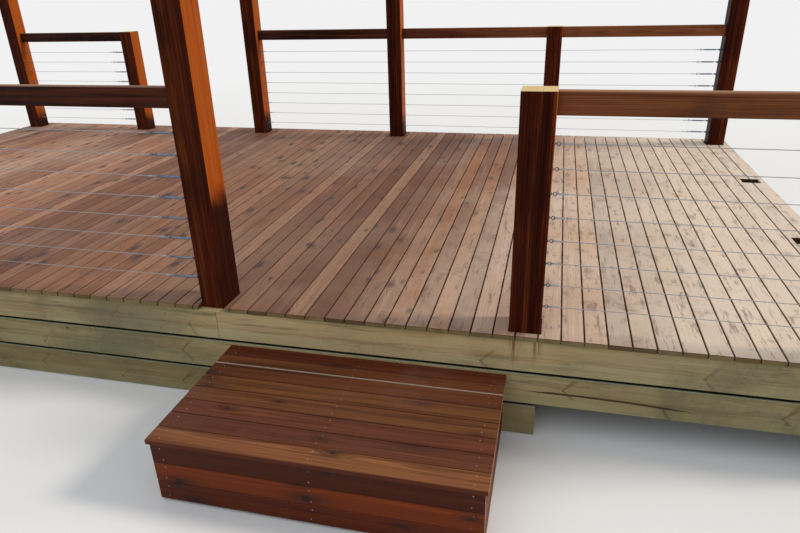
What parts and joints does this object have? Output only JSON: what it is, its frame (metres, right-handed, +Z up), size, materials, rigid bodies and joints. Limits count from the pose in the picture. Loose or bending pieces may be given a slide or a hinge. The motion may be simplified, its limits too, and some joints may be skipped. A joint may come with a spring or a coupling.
{
  "type": "raised timber deck with box step and wire balustrade",
  "caption": "Raised timber deck on stumps with a low box step at its entry, square posts, handrails and a balustrade of taut steel wires with turnbuckles.",
  "frame": {"origin": "on the ground, in the middle of the whole footprint of deck and step", "axes": "+X to the right along the front of the deck, +Y from the step towards the back of the deck, +Z up"},
  "size_m": [7.405, 4.6456, 2.905],
  "materials": {
    "frame_timber": "rough sawn treated pine, unstained",
    "decking_timber": "dressed pine decking with a worn red-brown oil stain",
    "edge_timber": "treated pine boards, unstained, with knots",
    "stained_post": "laminated posts, dark red-brown satin stain",
    "stained_rail": "dark red-brown satin stain",
    "step_timber": "pine boards, warm red-brown satin stain",
    "steel_wire": "stranded stainless steel wire",
    "steel_fitting": "bright stainless steel"
  },
  "bodies": {
    "root": {"stumps": "frame_timber", "bearers": "frame_timber", "joists": "frame_timber", "edge_battens": "frame_timber", "decking_left": "decking_timber", "decking_entry": "decking_timber", "decking_right": "decking_timber", "front_edge_top_left": "edge_timber", "front_edge_top_right": "edge_timber", "front_edge_middle": "edge_timber", "front_edge_bottom": "edge_timber", "left_edge_boards": "edge_timber", "right_edge_boards": "edge_timber", "back_edge_boards": "edge_timber", "front_left_corner_post": "stained_post", "front_left_short_post": "stained_post", "front_left_tall_post": "stained_post", "entry_tall_post": "stained_post", "entry_short_post": "stained_post", "front_right_corner_post": "stained_post", "back_left_corner_post": "stained_post", "back_left_short_post": "stained_post", "back_opening_tall_post": "stained_post", "back_middle_tall_post": "stained_post", "back_right_short_post": "stained_post", "back_right_corner_post": "stained_post", "front_left_rails": "stained_rail", "front_right_rail": "stained_rail", "back_left_rail": "stained_rail", "back_right_rails": "stained_rail", "front_left_wires": "steel_wire", "front_right_wires": "steel_wire", "back_left_wires": "steel_wire", "back_right_wires": "steel_wire", "front_left_turnbuckles": "steel_fitting", "front_right_turnbuckles": "steel_fitting", "back_left_turnbuckles": "steel_fitting", "back_right_turnbuckles": "steel_fitting", "front_wire_eyes": "steel_fitting", "back_wire_eyes": "steel_fitting", "step_treads": "step_timber", "step_front_boards": "step_timber", "step_left_boards": "step_timber", "step_right_boards": "step_timber", "step_frame": "frame_timber", "step_legs": "frame_timber"}
  },
  "joints": []
}
